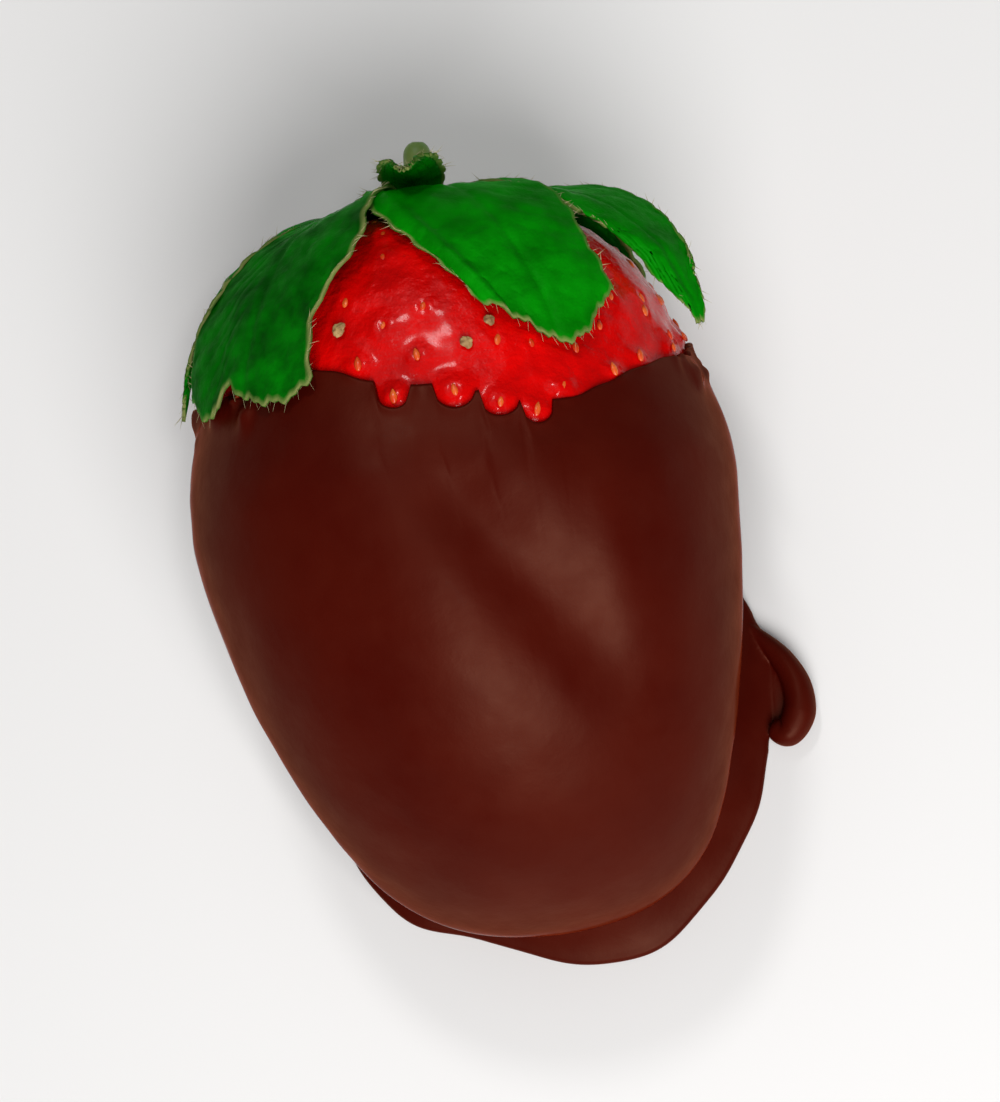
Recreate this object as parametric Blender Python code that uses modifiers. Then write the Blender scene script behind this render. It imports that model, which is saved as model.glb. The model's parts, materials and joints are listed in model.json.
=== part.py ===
"""A chocolate coated strawberry, lying on the flat foot of its coat.

Metres, +Z up, with the origin under the middle of the whole, on the surface that it lies on.
The berry's long axis runs along Y, from the tip at -Y to the green crown at +Y. It was dipped at a
slant and set down on a flat sheet, so the coat's underside is a flat foot at Z = 0.
"""

import math

import bmesh
import bpy
from mathutils import Matrix, Vector

MM = 0.001

# The berry: half a long ellipsoid from its widest place to the tip, and a fuller, shorter half to the crown.
WAIST = Vector((-1.1, 1.83, 18.3)) * MM
HALF_WIDTH = 20.1 * MM
HALF_THICKNESS = 16.4 * MM
TIP_LENGTH = 31.5 * MM
CROWN_LENGTH = 24.4 * MM
SHOULDER_FULLNESS = 0.26
TIP_SLIMNESS = 0.03
TIP_BLUNTNESS = 0.38
TIP_SWAY = 1.9 * MM
TIP_DROOP = 9.2 * MM
CROWN_RISE = 1.4 * MM
CROWN_HOLLOW_DEPTH = 1.8 * MM
CROWN_HOLLOW_RADIUS = 6.5 * MM

# The fold between the two lobes of its upper side, from the dip line to near the tip, and the ridge beside it.
FOLD_START = Vector((-1.0, 4.2, 0)) * MM
FOLD_END = Vector((7.5, -16.8, 0)) * MM
FOLD_DEPTH = 0.8 * MM
FOLD_WIDTH = 3.6 * MM
RIDGE_OFFSET = 6.0 * MM
RIDGE_SHARE = 0.5

# The chocolate.
COAT = 1.5 * MM
GAP = 0.3 * MM
FOOT_CENTRE = Vector((0.15, -11.47, 0)) * MM
FOOT_HALF_WIDTH = 19.3 * MM
FOOT_HALF_LENGTH = 20.6 * MM
FOOT_SQUARENESS = 2.2
# Lobes and dents of its outline: where each lies round it and how wide it is (degrees), and its share of the reach.
FOOT_WAVES = ((-72, 18, 0.080), (-112, 14, -0.055), (28, 13, -0.045))
FOOT_EDGE = 0.9 * MM
FOOT_RISE = 3.4 * MM
FOOT_JOIN = 0.79
FOOT_HOLLOW = 1.5
DIP_HEIGHT = 12.05 * MM
DIP_SLANT = 0.31
DIP_TURN = -0.07
DIP_SCALLOP = 0.6 * MM
DIP_SCALLOP_PITCH = 3.6 * MM
DIP_SAG = 2.6 * MM
DIP_SAG_AT = 8.45 * MM
DIP_PEAK = 2.4 * MM
DIP_PEAK_AT = -9.55 * MM

# The drop that ran off the foot, curled and set beside it.
DROP_ROUTE = ((18.0, -7.0), (20.1, -9.7), (21.15, -12.8), (21.05, -15.2), (19.1, -16.3))
DROP_RADII = (0.7, 0.95, 1.2, 1.35, 1.15)
DROP_HEIGHT = 1.3 * MM

# The crown of leaves, taken in turn round it from the right. Each leaf: half its share of the turn and
# how far down the shoulder it reaches (degrees), its width, and how far its end stands off the skin.
# Neighbours part over the first fifth of their length, and keep a share of the turn free between them.
LEAVES = ((20, 62, 6.5, 1.2), (24, 72, 11.0, 1.2), (13, 36, 5.0, 3.0), (25, 75, 11.0, 2.2), (20, 50, 8.0, 3.0),
          (19, 50, 8.5, 2.6), (20, 42, 7.5, 3.4), (19, 46, 8.5, 2.8), (20, 50, 8.0, 2.8))
FIRST_LEAF_TURN = 2
LEAF_THICKNESS = 0.5 * MM
LEAF_CLEARANCE = 0.3 * MM
LEAF_CUP = 1.0 * MM
LEAF_SPACING = 0.16
LEAF_PARTING = 5.0
HUB_REACH = 10.0
HUB_CUP = 0.6 * MM
STALK_RADIUS = 1.2 * MM
STALK_LENGTH = 6.5 * MM
STALK_BEND = 1.2 * MM

BERRY_ROWS, BERRY_COLUMNS = 28, 44
LEAF_ROWS, LEAF_COLUMNS = 9, 6


def clear_scene():
    for obj in list(bpy.data.objects):
        bpy.data.objects.remove(obj)


def new_collection(name):
    made = bpy.data.collections.new(name)
    bpy.context.scene.collection.children.link(made)
    return made


def new_material(name, colour, roughness):
    material = bpy.data.materials.new(name)
    material.use_nodes = True
    surface = material.node_tree.nodes["Principled BSDF"]
    surface.inputs["Base Color"].default_value = (*colour, 1)
    surface.inputs["Roughness"].default_value = roughness
    surface.inputs["Metallic"].default_value = 0
    material.diffuse_color = (*colour, 1)
    return material


def object_of(name, bm, material, collection, smooth=True, closed=True):
    if closed:
        bmesh.ops.recalc_face_normals(bm, faces=bm.faces)
    mesh = bpy.data.meshes.new(name)
    bm.to_mesh(mesh)
    bm.free()
    if material:
        mesh.materials.append(material)
    if smooth:
        mesh.shade_smooth()
        mesh.set_sharp_from_angle(angle=math.radians(40))
    obj = bpy.data.objects.new(name, mesh)
    collection.objects.link(obj)
    return obj


def as_cutter(obj):
    obj.hide_render = True
    obj.display_type = "WIRE"
    return obj


def combine(obj, other, operation):
    modifier = obj.modifiers.new(other.name, "BOOLEAN")
    modifier.operation = operation
    modifier.object = other
    modifier.solver = "EXACT"


def bell(value, width):
    """1 at 0, falling smoothly to 0 a few widths away."""
    return math.exp(-((value / width) ** 2))


def fold_relief(x, y):
    """How far the upper side stands above the plain form at x, y: a fold with a ridge beside it."""
    run = FOLD_END - FOLD_START
    reach = Vector((x, y, 0)) - FOLD_START
    share = reach.dot(run) / run.length_squared
    aside = reach.cross(run.normalized()).z
    fade = bell(max(0.0, abs(share - 0.5) - 0.3), 0.28)
    valley = -FOLD_DEPTH * bell(aside, FOLD_WIDTH)
    ridge = RIDGE_SHARE * FOLD_DEPTH * bell(aside - RIDGE_OFFSET, FOLD_WIDTH)
    return fade * (valley + ridge)


def skin_point(direction):
    """The berry's skin for one direction of a unit ball whose poles are the tip and the crown."""
    along = direction.y
    if along < 0:
        fullness = 1 + TIP_SLIMNESS * math.sin(math.pi * along) + TIP_BLUNTNESS * along**6
        centre = Vector((TIP_SWAY * abs(along) ** 1.3, TIP_LENGTH * along, -TIP_DROOP * abs(along) ** 2.2))
    else:
        fullness = 1 + SHOULDER_FULLNESS * along**2
        hollow = CROWN_HOLLOW_DEPTH * bell(HALF_WIDTH * math.hypot(direction.x, direction.z), CROWN_HOLLOW_RADIUS)
        centre = Vector((0, CROWN_LENGTH * along - hollow, CROWN_RISE * along**2))
    point = WAIST + centre
    point += fullness * Vector((HALF_WIDTH * direction.x, 0, HALF_THICKNESS * direction.z))
    if direction.z > 0:
        point.z += direction.z * fold_relief(point.x, point.y)
    return point


def crown_direction(reach, turn):
    """The ball direction at an angle of reach from the crown's pole, turned round it (degrees)."""
    out, round_ = math.radians(reach), math.radians(turn)
    return Vector((math.sin(out) * math.cos(round_), math.cos(out), math.sin(out) * math.sin(round_)))


def above_skin(reach, turn, height):
    """A point at a height over the skin near the crown."""
    step = 0.5
    here = skin_point(crown_direction(reach, turn))
    further = skin_point(crown_direction(reach + step, turn)) - skin_point(crown_direction(max(reach - step, 0.1), turn))
    beside = skin_point(crown_direction(reach, turn + step)) - skin_point(crown_direction(reach, turn - step))
    normal = beside.cross(further).normalized()
    if normal.dot(here - WAIST) < 0:
        normal = -normal
    return here + height * normal


def berry_form(grow, rows=BERRY_ROWS, columns=BERRY_COLUMNS):
    """The berry as a shaped ball, its skin moved out by grow."""
    bm = bmesh.new()
    poles_to_y = Matrix.Rotation(math.radians(-90), 4, "X")
    bmesh.ops.create_uvsphere(bm, u_segments=columns, v_segments=rows, radius=1, matrix=poles_to_y)
    for vert in bm.verts:
        vert.co = skin_point(vert.co.normalized())
    bm.normal_update()
    for vert, normal in [(vert, vert.normal.copy()) for vert in bm.verts]:
        vert.co += grow * normal
    return bm


def foot_reach(angle):
    """How far the foot's outline lies from its centre, at an angle round it."""
    across, along = abs(math.cos(angle)), abs(math.sin(angle))
    ring = (across / FOOT_HALF_WIDTH) ** FOOT_SQUARENESS + (along / FOOT_HALF_LENGTH) ** FOOT_SQUARENESS
    wobble = 0.010 * math.sin(3 * angle + 0.6) + 0.007 * math.sin(8 * angle + 1.0)
    turn = (math.degrees(angle) + 180) % 360 - 180
    waves = sum(size * bell(turn - at, width) for at, width, size in FOOT_WAVES)
    return ring ** (-1 / FOOT_SQUARENESS) * (1 + wobble + waves)


def foot_blank():
    """The pool under the berry: a stack of rings that flares to a thin rounded edge."""
    rings = [(share, FOOT_EDGE + FOOT_RISE * ((1 - share) / (1 - FOOT_JOIN)) ** FOOT_HOLLOW) for share in
             (0.58, 0.70, FOOT_JOIN, 0.86, 0.92, 0.965)]
    rings += [(0.99, 0.8 * FOOT_EDGE), (1.0, 0.4 * FOOT_EDGE), (0.995, 0.0), (0.97, -FOOT_EDGE)]
    columns = 48
    bm = bmesh.new()
    loops = []
    for share, height in rings:
        loop = []
        for column in range(columns):
            angle = math.tau * column / columns
            side = Vector((math.cos(angle), math.sin(angle), 0))
            loop.append(bm.verts.new(FOOT_CENTRE + share * foot_reach(angle) * side + Vector((0, 0, height))))
        loops.append(loop)
    for upper, lower in zip(loops, loops[1:]):
        for column in range(columns):
            after = (column + 1) % columns
            bm.faces.new((upper[column], lower[column], lower[after], upper[after]))
    bm.faces.new(loops[0])
    bm.faces.new(reversed(loops[-1]))
    return bm


def mesh_from_curve(curve_object, name, material, collection):
    """A closed mesh of a bevelled curve, with its caps welded on."""
    graph = bpy.context.evaluated_depsgraph_get()
    mesh = bpy.data.meshes.new_from_object(curve_object.evaluated_get(graph))
    bm = bmesh.new()
    bm.from_mesh(mesh)
    bmesh.ops.remove_doubles(bm, verts=bm.verts, dist=0.00001)
    made = object_of(name, bm, material, collection)
    made.matrix_world = curve_object.matrix_world
    bpy.data.objects.remove(curve_object)
    bpy.data.meshes.remove(mesh)
    return made


def bevelled_curve(name, points, radii, collection):
    """A smooth tube through points, with a radius in millimetres at each."""
    curve = bpy.data.curves.new(name, "CURVE")
    curve.dimensions = "3D"
    curve.bevel_depth = MM
    curve.bevel_resolution = 3
    curve.resolution_u = 4
    curve.use_fill_caps = True
    spline = curve.splines.new("BEZIER")
    spline.bezier_points.add(len(points) - 1)
    for knot, point, radius in zip(spline.bezier_points, points, radii):
        knot.co = point
        knot.radius = radius
        knot.handle_left_type = knot.handle_right_type = "AUTO"
    obj = bpy.data.objects.new(name, curve)
    collection.objects.link(obj)
    bpy.context.view_layer.update()
    return obj


def drop_blank(collection):
    points = [Vector((x * MM, y * MM, DROP_HEIGHT)) for x, y in DROP_ROUTE]
    return mesh_from_curve(bevelled_curve("drop_path", points, DROP_RADII, collection), "drop_blank", None, collection)


def dip_line(x, z):
    """The Y at which the chocolate ends, at x across and z up."""
    upper = min(1.0, max(0.0, (z - WAIST.z) / HALF_THICKNESS))
    slant = -DIP_SLANT * (z - WAIST.z) + DIP_TURN * x
    scallop = DIP_SCALLOP * math.sin(math.tau * x / DIP_SCALLOP_PITCH) * bell(x - WAIST.x, 14 * MM)
    sag = -DIP_SAG * bell(x - DIP_SAG_AT, 7 * MM)
    peak = DIP_PEAK * bell(x - DIP_PEAK_AT, 4 * MM)
    return DIP_HEIGHT + slant + upper * (scallop + sag + peak)


def dip_cutter():
    """A block over the crown whose near face is the slanted, scalloped dip line."""
    bm = bmesh.new()
    half = 32 * MM
    depth = 50 * MM
    face_on_y = Matrix.Rotation(math.radians(90), 4, "X")
    bmesh.ops.create_grid(bm, x_segments=64, y_segments=10, size=half, matrix=face_on_y)
    for vert in bm.verts:
        vert.co.z += WAIST.z
        vert.co.y = dip_line(vert.co.x, vert.co.z)
    pulled = bmesh.ops.extrude_face_region(bm, geom=bm.faces[:])["geom"]
    for vert in (item for item in pulled if isinstance(item, bmesh.types.BMVert)):
        vert.co.y = depth
    return bm


def floor_cutter():
    """A block below the foot."""
    depth = 10 * MM
    width = 120 * MM
    bm = bmesh.new()
    place = Matrix.Translation((0, 0, -depth / 2)) @ Matrix.Diagonal((width, width, depth, 1))
    bmesh.ops.create_cube(bm, size=1, matrix=place)
    return bm


def make_coat(parts, cutters, material):
    coat = object_of("coat", berry_form(COAT), material, parts)
    foot = as_cutter(object_of("foot_blank", foot_blank(), None, cutters))
    drop = as_cutter(drop_blank(cutters))
    floor = as_cutter(object_of("floor_block", floor_cutter(), None, cutters, smooth=False))
    hollow = as_cutter(object_of("hollow", berry_form(GAP), None, cutters))
    dip = as_cutter(object_of("dip_block", dip_cutter(), None, cutters))
    combine(coat, foot, "UNION")
    combine(coat, drop, "UNION")
    combine(coat, floor, "DIFFERENCE")
    combine(coat, hollow, "DIFFERENCE")
    combine(coat, dip, "DIFFERENCE")
    return coat


def make_berry(parts, material):
    return object_of("berry", berry_form(0), material, parts)


def leaf_half_width(share, width):
    """Half a leaf's width along its length, from its place on the hub to its rounded end."""
    spread = math.sin(math.pi * share**0.9) ** 0.65
    return max(0.3 * MM, 0.5 * width * MM * spread)


def half_turn(reach, half_width, turn):
    """Half the angle round the crown that a width takes up, at a reach from its middle."""
    point = skin_point(crown_direction(reach, turn)) - skin_point(crown_direction(0.1, turn))
    return math.degrees(half_width / math.hypot(point.x, point.z))


def make_calyx(parts, material):
    """One sheet: a round hub with a strip for each leaf, thickened."""
    turns = []
    turn = FIRST_LEAF_TURN - LEAVES[0][0]
    for share_of_turn, reach, width, stand in LEAVES:
        turns.append(turn + share_of_turn)
        turn += 2 * share_of_turn
    bm = bmesh.new()
    centre = bm.verts.new(above_skin(0.2, 90, LEAF_CLEARANCE + HUB_CUP))
    ring = []
    for turn, (share_of_turn, reach, width, stand) in zip(turns, LEAVES):
        for column in range(LEAF_COLUMNS):
            across = 2 * column / LEAF_COLUMNS - 1
            ring.append(bm.verts.new(above_skin(HUB_REACH, turn + across * share_of_turn, LEAF_CLEARANCE)))
    for index, vert in enumerate(ring):
        bm.faces.new((centre, ring[(index + 1) % len(ring)], vert))
    for leaf, (turn, (share_of_turn, reach, width, stand)) in enumerate(zip(turns, LEAVES)):
        lower = [ring[(leaf * LEAF_COLUMNS + column) % len(ring)] for column in range(LEAF_COLUMNS + 1)]
        for row in range(1, LEAF_ROWS + 1):
            share = min(0.985, row / LEAF_ROWS)
            out = HUB_REACH + (reach - HUB_REACH) * share
            half = share_of_turn * (1 - share) ** 2 + half_turn(out, leaf_half_width(share, width), turn) * share**0.3
            half = min(half, share_of_turn * (1 - LEAF_SPACING * min(1, LEAF_PARTING * share)))
            upper = []
            for column in range(LEAF_COLUMNS + 1):
                across = 2 * column / LEAF_COLUMNS - 1
                rise = stand * MM * share**1.6 + LEAF_CUP * math.sin(math.pi * share) ** 2 * across**2
                upper.append(bm.verts.new(above_skin(out, turn + across * half, LEAF_CLEARANCE + rise)))
            for column in range(LEAF_COLUMNS):
                bm.faces.new((lower[column], lower[column + 1], upper[column + 1], upper[column]))
            lower = upper
    bm.normal_update()
    calyx = object_of("calyx", bm, material, parts, closed=False)
    thicken = calyx.modifiers.new("thickness", "SOLIDIFY")
    thicken.thickness = LEAF_THICKNESS
    thicken.offset = 1
    return calyx


def make_stalk(parts, material):
    start = above_skin(0.2, 90, LEAF_CLEARANCE + HUB_CUP + LEAF_THICKNESS + GAP)
    points = [start + Vector((0.6 * bend, length, bend)) for length, bend in
              ((0, 0), (0.5 * STALK_LENGTH, 0.35 * STALK_BEND), (STALK_LENGTH, STALK_BEND))]
    radius = STALK_RADIUS / MM
    return mesh_from_curve(bevelled_curve("stalk_path", points, (1.25 * radius, radius, 0.9 * radius), parts),
                           "stalk", material, parts)


def main():
    clear_scene()
    parts = new_collection("chocolate_coated_strawberry")
    cutters = new_collection("cutters")
    flesh = new_material("flesh", (0.56, 0.012, 0.010), 0.25)
    chocolate = new_material("chocolate", (0.085, 0.015, 0.008), 0.38)
    leaf = new_material("leaf", (0.010, 0.16, 0.012), 0.5)
    stalk = new_material("stalk", (0.16, 0.22, 0.05), 0.6)
    make_berry(parts, flesh)
    make_coat(parts, cutters, chocolate)
    make_calyx(parts, leaf)
    make_stalk(parts, stalk)


main()
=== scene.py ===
# %% [markdown]
# # A chocolate coated strawberry
#
# The object is one large fresh strawberry. It was dipped in dark chocolate up to its shoulders and laid
# on a flat sheet, so the chocolate set with a flat foot under it, and a drop ran off and curled beside it.
# Its leafy crown stayed clean. The solid model already gives the true sizes, as four nodes: berry, coat,
# calyx and stalk. This lesson makes the surfaces that are seen, each in the space that its node holds.

# %% Start from the solid model
import json
import math

import bmesh
import bpy
import numpy as np
from mathutils import Matrix, Vector, noise

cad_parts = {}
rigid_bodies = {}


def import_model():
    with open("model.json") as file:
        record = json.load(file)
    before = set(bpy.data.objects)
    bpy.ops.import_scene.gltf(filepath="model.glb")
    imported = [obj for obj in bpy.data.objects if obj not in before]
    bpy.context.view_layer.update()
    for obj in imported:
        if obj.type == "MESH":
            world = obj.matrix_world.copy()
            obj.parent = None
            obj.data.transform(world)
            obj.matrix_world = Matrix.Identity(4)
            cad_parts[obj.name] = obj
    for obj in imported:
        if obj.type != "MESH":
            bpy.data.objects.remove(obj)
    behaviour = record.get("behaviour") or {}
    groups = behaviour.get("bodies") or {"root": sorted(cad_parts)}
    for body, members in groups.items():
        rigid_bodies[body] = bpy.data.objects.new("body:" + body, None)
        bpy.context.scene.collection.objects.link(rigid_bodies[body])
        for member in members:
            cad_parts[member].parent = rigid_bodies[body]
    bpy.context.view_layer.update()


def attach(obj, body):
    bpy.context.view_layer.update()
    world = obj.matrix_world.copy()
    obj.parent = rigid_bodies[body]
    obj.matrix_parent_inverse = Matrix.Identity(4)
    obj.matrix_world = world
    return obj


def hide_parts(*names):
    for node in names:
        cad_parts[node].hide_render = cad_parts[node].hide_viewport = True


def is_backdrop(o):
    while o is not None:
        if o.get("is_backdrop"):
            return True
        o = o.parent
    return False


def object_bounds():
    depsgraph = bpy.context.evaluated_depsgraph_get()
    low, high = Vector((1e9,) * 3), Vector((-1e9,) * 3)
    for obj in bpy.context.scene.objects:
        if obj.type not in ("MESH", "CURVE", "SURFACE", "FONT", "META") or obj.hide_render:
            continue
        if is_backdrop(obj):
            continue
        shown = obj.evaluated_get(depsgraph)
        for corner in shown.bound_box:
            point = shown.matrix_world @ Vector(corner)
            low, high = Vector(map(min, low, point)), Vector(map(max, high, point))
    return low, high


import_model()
MM = 0.001

# %% [markdown]
# ## The view
#
# The berry lies down with its shown side up, so the camera looks down on it, a little from the tip's
# side and from the right: there the rim of the flat foot shows past the coat. A camera is aimed with
# three directions: back towards the camera, up in the picture, and right. The picture is also turned,
# so that the crown points to the upper left. A long lens keeps the shape as flat as it looks by eye.

# %% Aim the camera
AROUND, ABOVE, TURNED = 31, 75, 40
STAND_OFF = 300 * MM
LENS = 137
LOOK_AT = Vector((1.1, -1.6, 17.2)) * MM
bpy.ops.object.camera_add()
camera = bpy.context.object
camera.name = "camera"
camera.data.lens = LENS
camera.data.sensor_width = 36
camera.data.sensor_fit = "HORIZONTAL"
camera.data.clip_start = 0.01
around, above = math.radians(AROUND), math.radians(ABOVE)
back = Vector((math.sin(around) * math.cos(above), -math.cos(around) * math.cos(above), math.sin(above)))
aim = back.to_track_quat("Z", "Y").to_matrix().to_4x4() @ Matrix.Rotation(math.radians(-TURNED), 4, "Z")
camera.matrix_world = Matrix.Translation(LOOK_AT + STAND_OFF * back) @ aim
bpy.context.scene.camera = camera
print("camera at", [round(1000 * value) for value in camera.location], "mm")

# %% [markdown]
# ## Helpers for picking up and shaping
#
# Blender's operators act on whatever is selected, so each step first selects one piece and nothing else.
# Fruit and chocolate have no straight edges: a primitive with enough rings is added at its size, and its
# points are then moved together by a rule, as a sculptor would push them. These helpers read and write
# a mesh's points all at once.


# %% Pick up one piece
def only(piece):
    bpy.ops.object.select_all(action="DESELECT")
    piece.select_set(True)
    bpy.context.view_layer.objects.active = piece


def take(name):
    """The primitive just added gets its name, and its place goes into its points."""
    piece = bpy.context.object
    piece.name = name
    piece.data.name = name
    only(piece)
    bpy.ops.object.transform_apply(location=True, rotation=True, scale=True)
    return piece


def points_of(piece):
    flat = np.empty(3 * len(piece.data.vertices))
    piece.data.vertices.foreach_get("co", flat)
    return flat.reshape(-1, 3)


def move_points(piece, points):
    piece.data.vertices.foreach_set("co", np.ascontiguousarray(points).ravel())
    piece.data.update()


def report(piece):
    size = points_of(piece).max(axis=0) - points_of(piece).min(axis=0)
    print(piece.name, [round(1000 * value, 1) for value in size], "mm,", len(piece.data.polygons), "faces")


# %% Copy a small model to many places and join the copies
def copy_and_join(model, places, name):
    """Each copy has its own mesh, and all of them together are one piece."""
    copies = []
    for place in places:
        copy = model.copy()
        copy.data = model.data.copy()
        copy.data.transform(place)
        bpy.context.collection.objects.link(copy)
        copies.append(copy)
    bpy.data.objects.remove(model)
    only(copies[0])
    for copy in copies:
        copy.select_set(True)
    bpy.ops.object.join()
    piece = take(name)
    bpy.ops.object.shade_smooth()
    report(piece)
    return piece


# %% Rules for soft steps, bells and lumps
def step_up(value, low, high):
    share = np.clip((value - low) / (high - low), 0, 1)
    return share * share * (3 - 2 * share)


def bell(value, width):
    return np.exp(-((value / width) ** 2))


def lumps(points, size, seed=0.0):
    """Smooth uneven values between -1 and 1, with lumps of one size."""
    shift = Vector((seed, 2 * seed, 3 * seed))
    return np.array([noise.noise(Vector(point) / size + shift) for point in points])


# %% [markdown]
# ## The berry's form
#
# A strawberry is half a long ellipsoid down to the tip, and a shorter, fuller one up to the crown, where
# the leaves sit in a hollow. Lying down, its belly is nearly straight and its tip hangs low. One rule
# turns each direction of a ball whose poles are the tip and the crown into a point of the skin, so the
# flesh, the chocolate, the seeds and the leaves can all be laid on the same form.

# %% The rule for the skin
WAIST = np.array((-1.1, 1.83, 18.3)) * MM
HALF_WIDTH = 20.1 * MM
HALF_THICKNESS = 16.4 * MM
TIP_LENGTH = 31.5 * MM
CROWN_LENGTH = 24.4 * MM
FOLD_START = np.array((-1.0, 4.2)) * MM
FOLD_END = np.array((7.5, -16.8)) * MM
FOLD_WIDTH, FOLD_DEPTH = 3.6 * MM, 0.8 * MM
BESIDE_FOLD, BESIDE_RISE = 6.0 * MM, 0.4 * MM
TIP_BLUNTNESS, CROWN_FULLNESS = 0.38, 0.26
TIP_SWAY, TIP_DROP, CROWN_RISE = 1.9 * MM, 9.2 * MM, 1.4 * MM
HOLLOW_DEPTH, HOLLOW_RADIUS = 1.8 * MM, 6.5 * MM


def beside_line(x, y, start, end):
    """How far places lie along a line seen from above, from 0 to 1, and how far to its side."""
    run = end - start
    length = np.hypot(*run)
    along = ((x - start[0]) * run[0] + (y - start[1]) * run[1]) / length**2
    aside = ((x - start[0]) * run[1] - (y - start[1]) * run[0]) / length
    return along, aside


def fold(x, y):
    """The long fold on the upper side, with the ridge beside it."""
    along, aside = beside_line(x, y, FOLD_START, FOLD_END)
    fade = bell(np.maximum(0, abs(along - 0.5) - 0.3), 0.28)
    return fade * (BESIDE_RISE * bell(aside - BESIDE_FOLD, FOLD_WIDTH) - FOLD_DEPTH * bell(aside, FOLD_WIDTH))


def skin(ball):
    """Points of the skin for directions of a unit ball, as rows of x, y, z."""
    x, along, z = ball.T
    to_tip = along < 0
    blunt = 1 + 0.03 * np.sin(math.pi * along) + TIP_BLUNTNESS * along**6
    fullness = np.where(to_tip, blunt, 1 + CROWN_FULLNESS * along**2)
    hollow = HOLLOW_DEPTH * bell(HALF_WIDTH * np.hypot(x, z), HOLLOW_RADIUS)
    centre_x = np.where(to_tip, TIP_SWAY * abs(along) ** 1.3, 0)
    centre_y = np.where(to_tip, TIP_LENGTH * along, CROWN_LENGTH * along - hollow)
    centre_z = np.where(to_tip, -TIP_DROP * abs(along) ** 2.2, CROWN_RISE * along**2)
    across = WAIST[0] + centre_x + fullness * HALF_WIDTH * x
    length = WAIST[1] + centre_y
    height = WAIST[2] + centre_z + fullness * HALF_THICKNESS * z
    height = height + np.maximum(z, 0) * fold(across, length)
    return np.stack((across, length, height), axis=1)


def ball_at(reach, turn):
    """Directions at an angle from the crown's pole, turned round it from the right side, in degrees."""
    reach, turn = np.broadcast_arrays(np.radians(reach), np.radians(turn))
    x, z = np.sin(reach) * np.cos(turn), np.sin(reach) * np.sin(turn)
    return np.stack((x, np.cos(reach), z), axis=-1).reshape(-1, 3)


def skin_with_normals(reach, turn):
    """Points of the skin, with the directions that face out of it, at angles from the crown and round it."""
    reach, turn = np.clip(np.asarray(reach, dtype=float), 0.2, 179.8), np.asarray(turn, dtype=float)
    nudge = 0.15
    here = skin(ball_at(reach, turn))
    down = skin(ball_at(reach + nudge, turn)) - skin(ball_at(reach - nudge, turn))
    beside = skin(ball_at(reach, turn + nudge)) - skin(ball_at(reach, turn - nudge))
    normal = np.cross(beside, down)
    normal /= np.linalg.norm(normal, axis=1, keepdims=True)
    return here, normal


# %% [markdown]
# ## Seeds and the dip line
#
# The seeds, which a botanist calls achenes, sit a few millimetres apart in a spiral order. Where the
# chocolate stops, the flesh round each seed swells over it as a small cushion, and the thin chocolate
# rises in a peak between two cushions. So the seeds come first: the skin, its dimples and the edge of
# the chocolate are all worked out from them. On the shown side, the seeds and the cushions along the edge
# are listed one by one.

# %% Where the chocolate stops
DIP_HEIGHT = 12.9 * MM
DIP_SLANT = 0.31
DIP_TURN = -0.07


def dip_line(x, z):
    """The height along the berry at which the chocolate ends, before the seeds' cushions notch it."""
    upper = np.clip((z - WAIST[2]) / HALF_THICKNESS, 0, 1)
    sag = -3.0 * MM * bell(x - 9.4 * MM, 6.0 * MM)
    peak = 2.2 * MM * bell(x + 9.5 * MM, 4.5 * MM)
    wander = 0.5 * MM * np.sin(x / (3.1 * MM) + z / (4.7 * MM))
    straight = DIP_HEIGHT - DIP_SLANT * (z - WAIST[2]) + DIP_TURN * x
    return straight + upper * (sag + peak) + (1 - upper) * wander


# %% Lay out the seeds
SEED_COUNT = 540
EDGE_SEEDS = ((-2.8, 7.5, 1.2), (1.8, 7.2, 1.6), (5.0, 5.8, 1.4), (7.5, 4.9, 1.25))
TOP_SEEDS = ((-2.6, 19.3), (-5.8, 16.0), (-3.0, 13.4), (-5.2, 10.6), (-0.7, 10.5), (0.2, 14.4), (5.4, 10.8),
             (7.8, 10.3), (10.9, 9.8), (9.6, 6.6), (12.8, 11.7), (13.2, 7.9), (15.1, 9.2), (13.8, 14.3))
GOLDEN_TURN = 137.508
SHOWN_TURN, SHOWN_HALF_TURN = 72, 47
UNDER_HUB, UNDER_LEAVES = 15, 38
spiral = np.arange(SEED_COUNT) + 0.5
seed_reach = np.degrees(np.arccos(1 - 2 * spiral / SEED_COUNT))
seed_turn = spiral * GOLDEN_TURN + 8 * np.sin(3.7 * spiral)
seed_at, seed_out = skin_with_normals(seed_reach, seed_turn)
over_edge = seed_at[:, 1] - dip_line(seed_at[:, 0], seed_at[:, 2])
on_shown_side = (abs(np.mod(seed_turn, 360) - SHOWN_TURN) < SHOWN_HALF_TURN) & (seed_reach > UNDER_LEAVES)
kept = (over_edge > -4 * MM) & (seed_reach > UNDER_HUB) & ~on_shown_side
seed_reach, seed_turn = seed_reach[kept], seed_turn[kept]


def find_on_top(across, length):
    """Angles from the crown and round it of the upper skin's point at a place seen from above."""
    along = (length - WAIST[1]) / CROWN_LENGTH
    half_width = HALF_WIDTH * (1 + CROWN_FULLNESS * along**2) * math.sqrt(1 - along**2)
    return math.degrees(math.acos(along)), math.degrees(math.acos((across - WAIST[0]) / half_width))


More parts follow.
